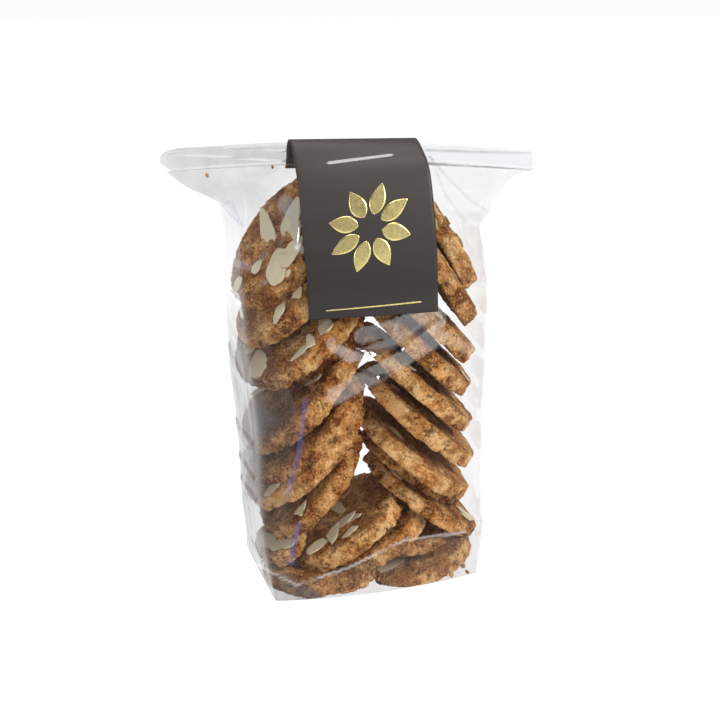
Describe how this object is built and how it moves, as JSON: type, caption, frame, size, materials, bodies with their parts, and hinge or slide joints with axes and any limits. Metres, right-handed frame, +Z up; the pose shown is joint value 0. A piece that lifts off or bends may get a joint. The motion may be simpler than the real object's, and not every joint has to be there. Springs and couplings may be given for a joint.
{
  "type": "bag of almond butter biscuits",
  "caption": "Upright clear block-bottomed bag filled with leaning stacks of round almond butter biscuits, its mouth folded into a wide flat fin under a dark card label.",
  "frame": {"origin": "middle of the flat base, between the fin's two tips and between the front and back panels", "axes": "+X to the right along the front face, +Y from the front face to the back, +Z up to the folded fin"},
  "size_m": [0.188, 0.0808, 0.2185],
  "materials": {
    "filled_bag": "gloss",
    "label_card": "satin",
    "clear_film": "gloss",
    "biscuit": "matte",
    "almond": "satin",
    "gold_foil": "polished"
  },
  "bodies": {
    "root": {"bag": "filled_bag", "label": "label_card"}
  },
  "joints": []
}
